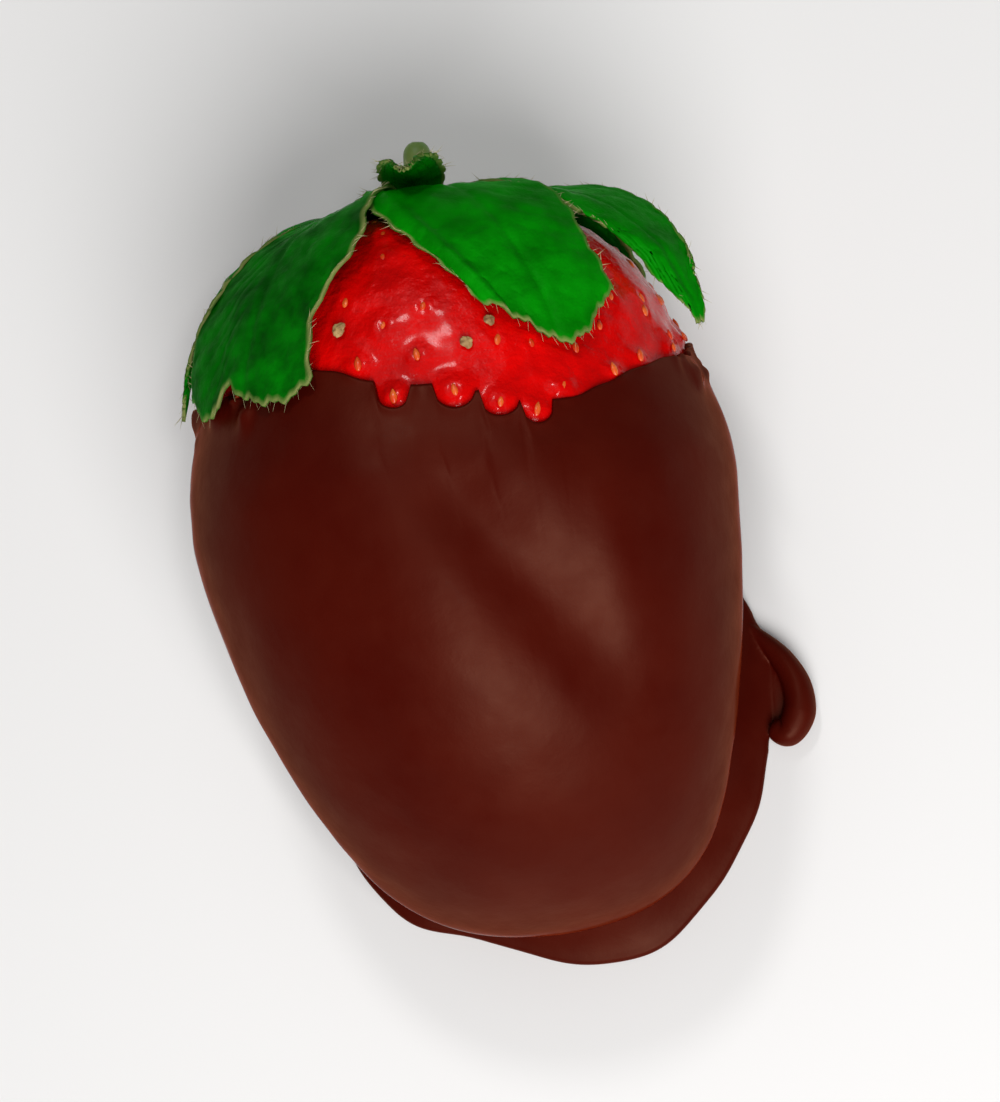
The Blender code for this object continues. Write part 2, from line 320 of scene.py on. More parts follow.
placed = [find_on_top(seed[0] * MM, seed[1] * MM) for seed in TOP_SEEDS + EDGE_SEEDS]
seed_reach = np.concatenate((seed_reach, [reach for reach, turn in placed]))
seed_turn = np.concatenate((seed_turn, [turn for reach, turn in placed]))
seed_at, seed_out = skin_with_normals(seed_reach, seed_turn)
seed_swell = 1.0 * MM + 0.2 * MM * np.sin(5.1 * np.arange(len(seed_at)))
seed_swell[-len(EDGE_SEEDS):] = [swell * MM for across, length, swell in EDGE_SEEDS]
seed_over = seed_at[:, 1] - dip_line(seed_at[:, 0], seed_at[:, 2])
print(len(seed_at), "seeds")

# %% The notched edge, one height for each turn round the berry
EDGE_COLUMNS = 480
NOTCH_REACH = 2.2 * MM
DEEP_NOTCH, SHALLOW_NOTCH = 3.0 * MM, 0.35 * MM
RIPPLE = 0.07 * MM


def edge_of_chocolate(turn):
    """The reach from the crown at which the chocolate ends, for each turn, with a notch under each seed."""
    reach = np.full(len(turn), 70.0)
    for _ in range(5):
        at = skin(ball_at(reach, turn))
        along = (dip_line(at[:, 0], at[:, 2]) - WAIST[1]) / CROWN_LENGTH
        reach = np.degrees(np.arccos(np.clip(along, -0.2, 0.95)))
    at = skin(ball_at(reach, turn))
    length = at[:, 1].copy()
    plain = length.copy()
    for index in np.flatnonzero(abs(seed_over) < NOTCH_REACH):
        place, swell = seed_at[index], seed_swell[index]
        deepest = DEEP_NOTCH if index >= len(seed_at) - len(EDGE_SEEDS) else SHALLOW_NOTCH
        aside = np.hypot(at[:, 0] - place[0], at[:, 2] - place[2])
        notch = np.maximum(place[1] - np.sqrt(np.maximum(0, swell**2 - aside**2)), plain - deepest)
        length = np.where(aside < swell, np.minimum(length, notch), length)
    length += RIPPLE * np.sin(np.radians(31 * turn + 40 * np.sin(np.radians(7 * turn))))
    along = (length - WAIST[1]) / CROWN_LENGTH
    return np.degrees(np.arccos(np.clip(along, -0.2, 0.95))), length


edge_turn = np.arange(EDGE_COLUMNS) * 360 / EDGE_COLUMNS
edge_reach, edge_length = edge_of_chocolate(edge_turn)
edge_low, edge_high = 1000 * edge_length.min(), 1000 * edge_length.max()
print("the chocolate ends between", round(edge_low, 1), "and", round(edge_high, 1), "mm")


def edge_reach_at(turn):
    return np.interp(np.mod(turn, 360), np.append(edge_turn, 360), np.append(edge_reach, edge_reach[0]))


# %% [markdown]
# ## The flesh
#
# The bare skin is wet, smooth and uneven. Each seed has a pit, the flesh between seeds swells a little,
# and the cushions are fullest beside the chocolate. This is relief that catches the light, so it is real
# shape. A ball with many rings is added, most of its rings are gathered on the bare end, and its points
# are moved out by the rule. The covered end only needs a few rings.


# %% Add a fine ball with its poles at the tip and the crown
def take_ball(name, columns, rings):
    bpy.ops.mesh.primitive_uv_sphere_add(segments=columns // 2, ring_count=rings // 2, radius=1,
                                         rotation=(math.radians(-90), 0, 0))
    piece = take(name)
    bpy.ops.object.mode_set(mode="EDIT")
    bpy.ops.mesh.select_all(action="SELECT")
    bpy.ops.mesh.subdivide(number_cuts=1)
    bpy.ops.object.mode_set(mode="OBJECT")
    points = points_of(piece)
    return piece, points / np.linalg.norm(points, axis=1, keepdims=True)


# %% Gather its rings on the bare end
SKIN_COLUMNS, SKIN_RINGS = 480, 180
BARE_SHARE, BARE_REACH = 0.84, 94
flesh, ball = take_ball("flesh", SKIN_COLUMNS, SKIN_RINGS)
share = np.degrees(np.arccos(np.clip(ball[:, 1], -1, 1))) / 180
flesh_turn = np.degrees(np.arctan2(ball[:, 2], ball[:, 0]))
flesh_reach = np.where(share < BARE_SHARE, BARE_REACH * share / BARE_SHARE,
                       BARE_REACH + (180 - BARE_REACH) * (share - BARE_SHARE) / (1 - BARE_SHARE))


# %% Cushions, pits and lumps
CUSHION_HEIGHT, EDGE_CUSHION_HEIGHT, EDGE_ZONE = 0.20 * MM, 0.45 * MM, 2.6 * MM
PIT_DEPTH, PIT_RADIUS, PIT_STRETCH = 0.24 * MM, 0.40 * MM, 1.5


def swelling(points, height_over_edge):
    """How far the skin stands out from its plain form because of the seeds near each point."""
    out = np.zeros(len(points))
    cushion_high = CUSHION_HEIGHT + EDGE_CUSHION_HEIGHT * bell(np.maximum(0, height_over_edge), EDGE_ZONE)
    for place, swell in zip(seed_at, seed_swell):
        distance = np.linalg.norm(points - place, axis=1)
        close = distance < 2.4 * swell
        out[close] += cushion_high[close] * bell(distance[close], 0.80 * swell)
    return out


def pits(points):
    """How deep the pits of the seeds are at each point, as negative heights."""
    out = np.zeros(len(points))
    for place in seed_at:
        distance = np.linalg.norm((points - place) / np.array((1, PIT_STRETCH, 1)), axis=1)
        close = distance < 3 * PIT_RADIUS
        out[close] -= PIT_DEPTH * bell(distance[close], PIT_RADIUS)
    return out


place, outward = skin_with_normals(flesh_reach, flesh_turn)
over = place[:, 1] - dip_line(place[:, 0], place[:, 2])
bare = over > -3 * MM
lift = np.zeros(len(place))
lift[bare] = swelling(place[bare], over[bare]) + pits(place[bare])
lift[bare] += 0.22 * MM * lumps(place[bare], 7 * MM, 3) + 0.11 * MM * lumps(place[bare], 1.9 * MM, 8)
lift[bare] *= step_up(flesh_reach[bare], 6, 16)
lift = np.where(bare, lift, 0.0)
move_points(flesh, place + lift[:, None] * outward)
bpy.ops.object.shade_smooth()
report(flesh)

# %% [markdown]
# ## The seeds
#
# One seed is a small flattened drop with a pointed end. It is modelled once from a ball, and a copy with
# its own mesh is laid in each pit, pointed along the berry and tipped to the skin. Joined, they are one
# piece.

# %% Model one seed
SEED_LENGTH, SEED_WIDTH, SEED_DEPTH = 1.15 * MM, 0.58 * MM, 0.40 * MM
bpy.ops.mesh.primitive_uv_sphere_add(segments=12, ring_count=8, radius=0.5,
                                     rotation=(math.radians(-90), 0, 0))
one_seed = take("one_seed")
ball = points_of(one_seed)
taper = 1 - 0.55 * np.clip(2 * ball[:, 1], 0, 1) ** 1.5
pointed = np.stack((taper, np.ones(len(taper)), taper), axis=1)
move_points(one_seed, ball * pointed * np.array((SEED_WIDTH, SEED_LENGTH, SEED_DEPTH)))

# %% Lay a copy in each pit
SEED_LEAN = Vector((0.10, 1, 0))
SEED_LIFT = 0.04 * MM
seed_pit = pits(seed_at) + swelling(seed_at, seed_over)
seed_places = []
for index in np.flatnonzero(seed_over > -1.0 * MM):
    out = Vector(seed_out[index])
    along_berry = (SEED_LEAN - out * out.dot(SEED_LEAN)).normalized()
    tipped = Matrix((along_berry.cross(out), along_berry, out)).transposed().to_4x4()
    turned = Matrix.Rotation(0.25 * math.sin(1.7 * index), 4, "Z")
    centre = Vector(seed_at[index]) + out * (seed_pit[index] + SEED_LIFT)
    size = 0.92 + 0.14 * math.sin(2.3 * index)
    seed_places.append(Matrix.Translation(centre) @ tipped @ turned @ Matrix.Scale(size, 4))
seeds = copy_and_join(one_seed, seed_places, "seeds")

# %% [markdown]
# ## The chocolate coat
#
# The coat is a cup: an outer skin, a thin rounded lip along the dip line, and an inner skin pressed on
# the flesh. A ball can be pushed into exactly that shape, as when a soft ball is pressed in at one pole,
# so the rings of one ball become all three, closed by the way it is made. Most rings go near the lip,
# where the chocolate thins, sags between the cushions and shows small ripples. The chocolate fills most of
# the fold in the flesh, and has a broad shallow valley of its own that crosses the fold, with a low rise
# on either side.

# %% Share out the rings of a ball
COAT_RINGS = 150
OUTER_SHARE, LIP_SHARE = 0.78, 0.05
coat, ball = take_ball("chocolate_coat", EDGE_COLUMNS, COAT_RINGS)
share = np.degrees(np.arccos(np.clip(-ball[:, 1], -1, 1))) / 180
coat_turn = np.mod(np.degrees(np.arctan2(ball[:, 2], ball[:, 0])), 360)
lip_reach = edge_reach_at(coat_turn)


def gather(run):
    """Runs from 0 at the tip to 1 at the lip, with its later steps much shorter."""
    return np.where(run < 0.62, run * 0.80 / 0.62, 0.80 + 0.20 * (np.maximum(run - 0.62, 0) / 0.38) ** 0.9)


outer = share <= OUTER_SHARE
inner = share > OUTER_SHARE + LIP_SHARE
lip = ~outer & ~inner
run = np.ones(len(share))
run[outer] = gather(share[outer] / OUTER_SHARE)
run[inner] = (1 - share[inner]) / (1 - OUTER_SHARE - LIP_SHARE)
coat_reach = 180 - run * (180 - lip_reach)

# %% Thickness, lip, ripples and lumps
LIP_THICKNESS, FULL_THICKNESS, SUNK = 0.42 * MM, 1.5 * MM, 0.25 * MM
LIP_OVERHANG, OFF_THE_GROUND = 0.30 * MM, 0.30 * MM
VALLEY_START = np.array((-0.2, 0.4)) * MM
VALLEY_END = np.array((9.6, -13.8)) * MM
VALLEY_DEPTH, FOLD_FILLED = 1.5 * MM, 0.85
base, outward = skin_with_normals(coat_reach, coat_turn)
rim, _ = skin_with_normals(lip_reach, coat_turn)
below = np.linalg.norm(rim - base, axis=1)
below_line = dip_line(base[:, 0], base[:, 2]) - base[:, 1]
thickness = LIP_THICKNESS + (FULL_THICKNESS - LIP_THICKNESS) * step_up(below_line, -2.0 * MM, 8.0 * MM)
draped = swelling(base, -below_line) * bell(below, 2.4 * MM)
peak_here = (edge_reach < np.roll(edge_reach, 1)) & (edge_reach <= np.roll(edge_reach, -1))
for turn in edge_turn[peak_here]:
    aside = np.radians(np.mod(coat_turn - turn + 180, 360) - 180) * 18 * MM
    draped += 0.13 * MM * bell(aside, 0.45 * MM) * bell(below - 0.4 * MM, 1.0 * MM)
along_valley, aside_valley = beside_line(base[:, 0], base[:, 1], VALLEY_START, VALLEY_END)
valley_fade = bell(np.maximum(0, abs(along_valley - 0.5) - 0.35), 0.30)
on_upper_side = np.clip(outward[:, 2], 0, 1) * step_up(below, 0.5 * MM, 6 * MM)
upper = -VALLEY_DEPTH * bell(aside_valley, 3.6 * MM) * valley_fade
upper -= FOLD_FILLED * fold(base[:, 0], base[:, 1])
upper += 0.25 * MM * bell(base[:, 0] - 11.3 * MM, 1.8 * MM) * bell(base[:, 1] + 6 * MM, 8 * MM)
upper += 0.60 * MM * bell(np.hypot(base[:, 0] + 1.2 * MM, (base[:, 1] + 16.0 * MM) / 1.3), 7.0 * MM)
uneven = 0.22 * MM * lumps(base, 10 * MM, 5) * step_up(below, 0, 8 * MM)
uneven += 0.07 * MM * lumps(base, 3.0 * MM, 11) * step_up(below, 0.5 * MM, 4 * MM)
height = thickness + draped + upper * on_upper_side + uneven
around_lip = math.pi * (share - OUTER_SHARE) / LIP_SHARE
lip_middle = 0.5 * (height - SUNK)
lip_half = 0.5 * (height + SUNK)
height = np.where(lip, lip_middle + lip_half * np.cos(around_lip), height)
height = np.where(inner, -SUNK, height)
shaped = base + height[:, None] * outward
shaped[:, 1] += np.where(lip, LIP_OVERHANG * np.sin(around_lip), 0)
shaped[:, 2] = np.maximum(shaped[:, 2], OFF_THE_GROUND)
move_points(coat, shaped)
bpy.ops.object.mode_set(mode="EDIT")
bpy.ops.mesh.select_all(action="SELECT")
bpy.ops.mesh.normals_make_consistent(inside=False)
bpy.ops.object.mode_set(mode="OBJECT")
report(coat)

# %% [markdown]
# ## The foot and the drop
#
# Wet chocolate ran down and set where the berry lay. It left a foot, flat below, that curves in to the
# body and ends in a thin rounded rim. The foot is another pushed ball: its rings run from inside the
# body out along the hollow curve, over the rim and back under. A ray sent up from each point finds the
# body's underside, so that the foot ends inside the coat's wall and never in the flesh's room.

# %% Push a ball to the foot's shape
FOOT_CENTRE = np.array((0.15, -11.47)) * MM
FOOT_HALF_WIDTH, FOOT_HALF_LENGTH = 19.3 * MM, 20.6 * MM
FOOT_SQUARENESS = 2.2
FOOT_EDGE, FOOT_RISE, FOOT_JOIN, FOOT_HOLLOW = 0.95 * MM, 3.4 * MM, 0.79, 1.5
FOOT_WAVES = ((-72, 18, 0.080), (-112, 14, -0.055), (28, 13, -0.045))
INSIDE_WALL = 0.8 * MM


def foot_reach(angle):
    """How far out the foot's edge is at each angle: a squared oval with a few waves."""
    ring = (abs(np.cos(angle)) / FOOT_HALF_WIDTH) ** FOOT_SQUARENESS
    ring = ring + (abs(np.sin(angle)) / FOOT_HALF_LENGTH) ** FOOT_SQUARENESS
    wobble = 0.010 * np.sin(3 * angle + 0.6) + 0.007 * np.sin(8 * angle + 1.0) + 0.003 * np.sin(19 * angle)
    turn = np.mod(np.degrees(angle) + 180, 360) - 180
    waves = sum(size * bell(turn - at, width) for at, width, size in FOOT_WAVES)
    return ring ** (-1 / FOOT_SQUARENESS) * (1 + wobble + waves)


TOP_SHARE, UNDER_SHARE = 0.70, 0.82
bpy.ops.mesh.primitive_uv_sphere_add(segments=288, ring_count=72, radius=1)
foot = take("foot")
ball = points_of(foot)
share = np.arccos(np.clip(ball[:, 2], -1, 1)) / math.pi
angle = np.arctan2(ball[:, 1], ball[:, 0])
on_top, under = share <= TOP_SHARE, share >= UNDER_SHARE
edge_turned = np.clip((share - TOP_SHARE) / (UNDER_SHARE - TOP_SHARE), 0, 1)
out = np.where(on_top, share / TOP_SHARE * 0.975, 0)
out = np.where(under, 0.965 * (1 - share) / (1 - UNDER_SHARE), out)
curve = FOOT_EDGE + FOOT_RISE * (np.clip(1 - out, 0, 1) / (1 - FOOT_JOIN)) ** FOOT_HOLLOW
round_edge = ~on_top & ~under
out = np.where(round_edge, 0.975 - 0.010 * edge_turned + 0.025 * np.sin(math.pi * edge_turned), out)
edge_start = FOOT_EDGE + FOOT_RISE * (0.025 / (1 - FOOT_JOIN)) ** FOOT_HOLLOW
height = np.where(round_edge, edge_start * 0.5 * (1 + np.cos(math.pi * edge_turned)), curve)
height = np.where(under, 0, height)
reach = out * foot_reach(angle)
across = FOOT_CENTRE[0] + reach * np.cos(angle)
length = FOOT_CENTRE[1] + reach * np.sin(angle)
for index in np.flatnonzero(on_top):
    hit, at, _, _ = coat.ray_cast(Vector((across[index], length[index], -0.01)), Vector((0, 0, 1)))
    if hit:
        height[index] = min(height[index], at.z + INSIDE_WALL)
move_points(foot, np.stack((across, length, height), axis=1))
report(foot)

# %% [markdown]
# The drop left the foot's right side, curled round and ran back into it, so it looks like a small ear: a
# thick rounded rim with a thin web of chocolate inside. A ball is drawn out along a smooth route, thin
# where the drop starts and fat where it ended. The same helper makes the stalk and the dried stamens.


# %% Draw a ball out along a route
def smooth_route(knots, shares):
    """Places on a smooth curve through the knots, for shares from 0 to 1."""
    knots = np.array(knots, dtype=float)
    knots = np.vstack((2 * knots[0] - knots[1], knots, 2 * knots[-1] - knots[-2]))
    spans = len(knots) - 3
    at = np.clip(shares, 0, 1) * spans
    first = np.minimum(at.astype(int), spans - 1)
    part = (at - first)[:, None]
    a, b, c, d = (knots[first + step] for step in range(4))
    return 0.5 * (2 * b + (c - a) * part + (2 * a - 5 * b + 4 * c - d) * part**2
                  + (3 * b - a - 3 * c + d) * part**3)


def draw_out(piece, route, radii, side=(0, 0, 1)):
    """Turn a ball with its poles on Z into a rounded tube along a route, all in metres."""
    ball = points_of(piece)
    share = np.arccos(np.clip(ball[:, 2], -1, 1)) / math.pi
    angle = np.arctan2(ball[:, 1], ball[:, 0])
    radius = np.interp(share, np.linspace(0, 1, len(radii)), radii)
    steps = np.diff(smooth_route(route, np.linspace(0, 1, 50)), axis=0)
    length = np.linalg.norm(steps, axis=1).sum()
    cap = np.maximum(radius / length, 1e-3)
    near_end = np.minimum(share, 1 - share)
    cap_share = np.clip(near_end / cap, 0, 1)
    radius = radius * np.sqrt(np.maximum(0, 1 - (1 - cap_share) ** 2))
    centre = smooth_route(route, share)
    before, after = np.maximum(share - 0.01, 0), np.minimum(share + 0.01, 1)
    ahead = smooth_route(route, after) - smooth_route(route, before)
    ahead /= np.linalg.norm(ahead, axis=1, keepdims=True)
    across = np.cross(ahead, np.array(side, dtype=float))
    across /= np.linalg.norm(across, axis=1, keepdims=True)
    lift = np.cross(across, ahead)
    ring = np.cos(angle)[:, None] * across + np.sin(angle)[:, None] * lift
    move_points(piece, centre + radius[:, None] * ring)


# %% The drop's rim and its web
DROP_ROUTE = ((17.4, -6.8, 0.9), (19.0, -8.6, 0.9), (20.6, -10.8, 1.15), (21.5, -13.2, 1.35),
              (21.4, -15.5, 1.5), (20.2, -16.9, 1.35), (18.8, -16.2, 1.1))
DROP_RADII = (0.4, 0.6, 0.95, 1.2, 1.35, 1.25, 0.8)
bpy.ops.mesh.primitive_uv_sphere_add(segments=40, ring_count=110, radius=1)
drop = take("drop")
draw_out(drop, np.array(DROP_ROUTE) * MM, np.array(DROP_RADII) * MM)
move_points(drop, np.maximum(points_of(drop), (-1, -1, 0)))
report(drop)
bpy.ops.mesh.primitive_uv_sphere_add(segments=48, ring_count=24, radius=1,
                                     location=Vector((19.5, -13.0, 0.50)) * MM,
                                     scale=Vector((1.6, 3.6, 0.45)) * MM)
web = take("web")
report(web)

# %% Join foot, drop and coat into one body
def unite(piece, other):
    only(piece)
    joined = piece.modifiers.new("join", "BOOLEAN")
    joined.operation = "UNION"
    joined.solver = "EXACT"
    joined.object = other
    bpy.ops.object.modifier_apply(modifier=joined.name)
    bpy.data.objects.remove(other)


unite(drop, web)
unite(foot, drop)
unite(coat, foot)
report(coat)

# %% [markdown]
# Where the foot and the body meet, melted chocolate leaves a soft inside corner. The faces that meet there
# at a hollow angle are found by their edges, and their points are smoothed a few times.

# %% Soften the inside corner
HOLLOW_ANGLE = math.radians(-14)
CORNER_HEIGHT = 12 * MM
bpy.ops.object.mode_set(mode="EDIT")
bpy.ops.mesh.select_all(action="DESELECT")
shell = bmesh.from_edit_mesh(coat.data)
for edge in shell.edges:
    low = all(vert.co.z < CORNER_HEIGHT for vert in edge.verts)
    if low and edge.is_manifold and edge.calc_face_angle_signed(0) < HOLLOW_ANGLE:
        edge.select_set(True)
bmesh.update_edit_mesh(coat.data)
for _ in range(3):
    bpy.ops.mesh.select_more()
bpy.ops.mesh.vertices_smooth(factor=0.5, repeat=14)
bpy.ops.object.mode_set(mode="OBJECT")
bpy.ops.object.shade_smooth()
report(coat)

# %% [markdown]
# ## The crown of leaves
#
# The small leaves of the crown, the sepals, lie back over the shoulder. Each one is a flat grid laid over
# the berry by angle: its length runs away from the crown, its width round it. Half widths on the left and
# right give the outline, the end is cut into lobes, and the height over the skin gives the curl, the
# sunken midrib and veins. Solidify then gives each leaf its thickness.

# %% Lay a grid over the shoulder as a leaf
LEAF_ROWS, LEAF_COLUMNS = 96, 56
LEAF_THICKNESS = 0.32 * MM
LEAF_START = 6.0


def along_values(values, share):
    """Smooth values between a few that are evenly spaced from base to end."""
    knots = np.array(values, dtype=float)[:, None]
    return smooth_route(knots, share)[:, 0]


def make_leaf(name, turns, end, before, rise, after=None, cup=0.5, tilt=0.0, hem=0.0, seed=0.0):
    """turns: its midrib's turn at base and end. end: how far from the crown it ends, at nine places across.
    before, after and rise run from base to end, in millimetres: its half widths on the two sides of the
    midrib, which are alike if after isn't given, and its height over the skin."""
    bpy.ops.mesh.primitive_grid_add(x_subdivisions=LEAF_ROWS, y_subdivisions=LEAF_COLUMNS, size=2)
    leaf = take(name)
    grid = points_of(leaf)
    share, side = 0.5 + 0.5 * grid[:, 0], grid[:, 1]
    half = np.where(side < 0, along_values(before, share), along_values(after or before, share)) * MM
    ragged = 0.45 * np.sin(19 * side + 5 * seed) + 0.35 * np.sin(43 * side + seed)
    leaf_reach = LEAF_START + (along_values(end, 0.5 + 0.5 * side) + ragged - LEAF_START) * share
    midrib = turns[0] + (turns[1] - turns[0]) * step_up(share, -0.2, 1.2)
    round_crown = skin(ball_at(leaf_reach, midrib)) - skin(ball_at(0.1, 0))
    radius = np.maximum(np.hypot(round_crown[:, 0], round_crown[:, 2]), 1.5 * MM)
    toothed = step_up(abs(side), 0.86, 1.0) * step_up(share, 0.25, 0.5)
    tooth = 0.12 * MM * np.sin(share * 52 + 3 * seed) * toothed
    leaf_turn = midrib + np.degrees((side * half + np.sign(side) * tooth) / radius)
    place, outward = skin_with_normals(leaf_reach, leaf_turn)
    height = along_values(rise, share) * MM
    height += cup * MM * side**2 * np.sin(math.pi * np.clip(share, 0, 1)) ** 0.7
    height -= tilt * MM * side * step_up(share, 0.2, 0.7)
    width = np.maximum(half, 0.5 * MM)
    inward = (1 - side) * width
    turned_over = bell(inward - 1.3 * MM, 0.45 * MM) - 0.8 * bell(inward, 0.7 * MM)
    height += hem * MM * turned_over * step_up(share, 0.3, 0.5)
    vein_run = share * 10 - abs(side) * width / (1.9 * MM) + 0.35 * np.sin(5 * share + seed)
    vein = np.cos(math.pi * vein_run) ** 12 * step_up(abs(side), 0.05, 0.2)
    height -= 0.16 * MM * bell(side * width, 0.35 * MM) + 0.08 * MM * vein
    height += 0.30 * MM * lumps(place, 3.6 * MM, 20 + seed) + 0.09 * MM * lumps(place, 1.2 * MM, 40 + seed)
    move_points(leaf, place + height[:, None] * outward)
    margin = np.minimum((1 - abs(side)) * width, (1 - share) * 16 * MM)
    rim = leaf.data.attributes.new("from_margin", "FLOAT", "POINT")
    rim.data.foreach_set("value", margin / MM)
    shaped_normal = np.empty(3 * len(grid))
    leaf.data.vertices.foreach_get("normal", shaped_normal)
    if (shaped_normal.reshape(-1, 3) * outward).sum() < 0:
        bpy.ops.object.mode_set(mode="EDIT")
        bpy.ops.mesh.select_all(action="SELECT")
        bpy.ops.mesh.flip_normals()
        bpy.ops.object.mode_set(mode="OBJECT")
    thicken = leaf.modifiers.new("thickness", "SOLIDIFY")
    thicken.thickness = LEAF_THICKNESS
    thicken.offset = 0
    bpy.ops.object.modifier_apply(modifier=thicken.name)
    bpy.ops.object.shade_smooth()
    report(leaf)
    return leaf


# %% The leaves, taken in turn round the crown from the right side
leaf_right = make_leaf(
    "leaf_right", turns=(26, 12), end=(53, 56, 60, 64, 66, 64, 60, 56, 52),
    before=(1.2, 2.6, 4.2, 4.6, 3.8, 1.6), after=(1.2, 2.6, 3.8, 4.2, 3.6, 1.6),
    rise=(0.9, 1.5, 2.0, 2.6, 2.8, 2.6), tilt=1.5, seed=1)
leaf_front = make_leaf(
    "leaf_front", turns=(72, 56), end=(60, 63, 67.5, 70.5, 70.5, 68.2, 65.5, 63, 59.5),
    before=(1.2, 3.4, 5.0, 5.2, 4.6, 4.8), after=(1.2, 3.8, 6.0, 6.4, 5.8, 4.6),
    rise=(1.0, 1.7, 1.7, 1.5, 1.3, 1.1), hem=0.35, seed=2)
leaf_small = make_leaf(
    "leaf_small", turns=(84, 86), end=(27, 29, 31, 32, 32, 32, 31, 29, 27),
    before=(0.8, 1.6, 2.0, 1.8, 1.4, 0.7), rise=(1.2, 2.0, 2.8, 3.4, 4.0, 4.6), seed=3)
leaf_left = make_leaf(
    "leaf_left", turns=(128, 131), end=(70.5, 73.2, 73.4, 72.2, 70.0, 66.4, 71.0, 69, 64),
    before=(1.2, 4.0, 6.0, 7.2, 5.6, 5.6), after=(1.2, 4.0, 6.6, 7.8, 7.9, 7.4),
    rise=(1.2, 1.5, 1.4, 1.2, 1.3, 1.7), cup=1.1, seed=4)
leaf_far_left = make_leaf(
    "leaf_far_left", turns=(165, 167), end=(57, 60, 63, 65, 66, 65, 63, 60, 57),
    before=(1.2, 2.4, 2.8, 2.6, 2.0, 0.9), rise=(0.8, 1.1, 1.4, 1.7, 2.0, 2.2), seed=5)

# %% The leaves that hang below, round to the right side again
leaf_lower_left = make_leaf(
    "leaf_lower_left", turns=(205, 207), end=(46, 49, 51, 52, 52, 52, 50, 48, 45),
    before=(1.2, 3.0, 4.2, 4.2, 3.4, 2.0), rise=(1.0, 1.4, 1.8, 2.4, 3.0, 3.4), seed=6)
leaf_low = make_leaf(
    "leaf_low", turns=(244, 242), end=(39, 42, 43, 44, 44, 43, 42, 41, 38),
    before=(1.2, 2.6, 3.8, 3.8, 2.8, 1.5), rise=(1.1, 1.6, 2.2, 3.0, 3.8, 4.2), seed=7)
leaf_lower_middle = make_leaf(
    "leaf_lower_middle", turns=(283, 285), end=(42, 45, 47, 48, 47, 48, 46, 44, 41),
    before=(1.2, 3.0, 4.2, 4.2, 3.2, 1.8), rise=(0.9, 1.3, 1.8, 2.4, 3.2, 3.6), seed=8)
leaf_lower_right = make_leaf(
    "leaf_lower_right", turns=(322, 320), end=(46, 49, 51, 52, 52, 51, 50, 48, 46),
    before=(1.2, 3.0, 4.0, 4.0, 3.2, 1.8), rise=(1.0, 1.5, 2.0, 2.6, 3.2, 3.6), seed=9)
leaves = [leaf_right, leaf_front, leaf_small, leaf_left, leaf_far_left, leaf_lower_left, leaf_low,
          leaf_lower_middle, leaf_lower_right]

# %% [markdown]
# ## The hub and the stalk
#
# The leaves grow from a small green hub, and the stalk, cut short, stands up from it. The hub is a ball
# flattened over the crown's hollow. The stalk is drawn out along a slightly bent route, thickened at its
# root and cut off flat-round at its end.

# %% The hub
bpy.ops.mesh.primitive_uv_sphere_add(segments=64, ring_count=32, radius=1, rotation=(math.radians(-90), 0, 0))
hub = take("hub")
ball = points_of(hub)
hub_angle = np.degrees(np.arctan2(ball[:, 2], ball[:, 0]))
hub_share = np.degrees(np.arccos(np.clip(ball[:, 1], -1, 1))) / 180
hub_reach = 9.5 * np.sin(math.pi * hub_share)
place, outward = skin_with_normals(hub_reach, hub_angle)
ribs = 0.12 * np.sin(np.radians(9 * hub_angle)) * np.sin(math.pi * hub_share)
height = (1.05 + 0.75 * np.cos(math.pi * hub_share) + ribs) * MM
move_points(hub, place + height[:, None] * outward)
bpy.ops.object.shade_smooth()
report(hub)

# %% The stalk
STALK_STEPS = ((0, -0.6, 0), (0.1, 1.6, 0.2), (0.35, 3.8, 0.6), (0.75, 6.4, 1.2))
STALK_RADII = (1.9, 1.35, 1.12, 1.1, 1.15)
CUT_BACK = 0.15 * MM
stalk_root = skin_with_normals([0.2], [90])[0][0] + np.array((0, 1.0, 0)) * MM
stalk_route = stalk_root + np.array(STALK_STEPS) * MM
bpy.ops.mesh.primitive_uv_sphere_add(segments=40, ring_count=64, radius=1)
stalk = take("stalk_stub")
draw_out(stalk, stalk_route, np.array(STALK_RADII) * MM, side=(1, 0, 0))
cut = points_of(stalk)
cut[:, 1] = np.minimum(cut[:, 1], stalk_route[-1, 1] - CUT_BACK)
move_points(stalk, cut)
bpy.ops.object.shade_smooth()
report(stalk)

# %% [markdown]
# ## Dried stamens and hairs
#
# A ring of dried stamens stays under the leaves: pale tan threads, each with a tiny head. One is drawn out
# from a ball and copied round the crown. Three crumbs of them lie on the wet flesh. The leaves' edges
# carry fine pale hairs, which soften their outline. One hair is a thin three-sided cone, copied along the
# margins. A hair system would do it too, but it leaves no mesh of its own.

